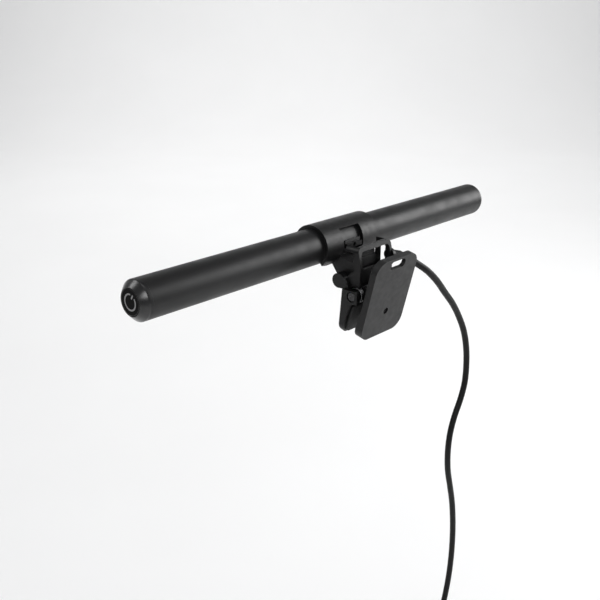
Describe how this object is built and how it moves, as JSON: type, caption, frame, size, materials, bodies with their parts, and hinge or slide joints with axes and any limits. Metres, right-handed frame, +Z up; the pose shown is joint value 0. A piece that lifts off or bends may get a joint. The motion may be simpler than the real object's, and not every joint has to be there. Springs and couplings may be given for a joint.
{
  "type": "monitor light bar",
  "caption": "Slim round light bar in an open collar saddle on a tilting, sprung two-jaw clip for a thin screen edge, with a push key in one end cap and a thin power lead behind.",
  "frame": {"origin": "middle of the screen's top edge, in the throat of the clip, with the clip sitting down on the screen", "axes": "+X along the lamp tube towards the end with the power key, +Y behind the screen, +Z up; the screen leans back 18 degrees"},
  "size_m": [0.3115, 0.0656, 0.4768],
  "materials": {
    "black_tube": "satin black anodised",
    "opal": "opal, frosted",
    "aluminium": "mill finish",
    "white_board": "white solder mask",
    "phosphor": "yellow phosphor",
    "green_board": "green solder mask",
    "components": "moulded component body",
    "lead_black": "soft matte jacket",
    "black_moulding": "fine matte texture",
    "dark_grey_moulding": "fine matte texture",
    "gloss_black": "smooth gloss",
    "white_plastic": "natural",
    "symbol_grey": "light grey inlay",
    "pad_rubber": "soft ribbed rubber",
    "steel": "zinc plated",
    "brass": "turned",
    "black_steel": "black oxide"
  },
  "bodies": {
    "clip": {"front_jaw": "black_moulding", "front_pad": "pad_rubber", "tilt_screw": "steel", "tilt_nut": "brass", "tilt_washers": "steel", "jaw_pin": "black_steel", "jaw_spring": "steel", "strain_relief": "lead_black", "power_lead": "lead_black", "lead_coil": "lead_black", "lead_tie": "lead_black", "plug_lead": "lead_black", "plug_grip": "lead_black", "plug_shell": "steel"},
    "rear_jaw_body": {"rear_jaw": "dark_grey_moulding", "rear_cover": "black_moulding", "rear_pad": "pad_rubber", "rear_screw": "black_steel"},
    "saddle_body": {"saddle": "black_moulding", "neck_lead": "lead_black"},
    "lamp": {"lamp_tube": "black_tube", "diffuser": "opal", "heat_spreader": "aluminium", "led_board": "white_board", "led_chips": "phosphor", "control_board": "green_board", "control_parts": "components", "lamp_lead": "lead_black", "lead_boss": "black_moulding", "key_cap": "gloss_black", "far_cap": "gloss_black", "switch_board": "green_board", "switch_body": "components"},
    "key": {"power_key": "gloss_black", "key_plunger": "white_plastic", "power_symbol": "symbol_grey"}
  },
  "joints": [
    {"name": "rear_jaw_hinge", "type": "hinge", "parent": "clip", "child": "rear_jaw_body", "pos_m": [0, -0.0033, 0.0059], "axis": [1, 0, 0], "range_deg": [-12, 28], "stiffness_Nm_per_rad": 0.1, "springref_deg": -68.75, "deforming": ["jaw_spring"]},
    {"name": "saddle_tilt", "type": "hinge", "parent": "clip", "child": "saddle_body", "pos_m": [0, -0.0152, 0.013], "axis": [1, 0, 0], "range_deg": [-6, 40]},
    {"name": "lamp_roll", "type": "hinge", "parent": "saddle_body", "child": "lamp", "pos_m": [0, -0.031, 0.032], "axis": [1, 0, 0], "range_deg": [-12, 34]},
    {"name": "key_press", "type": "slide", "parent": "lamp", "child": "key", "axis": [-1, 0, 0], "range_m": [0, 0.0004], "stiffness_N_per_m": 4000, "springref_m": -0.0001}
  ]
}
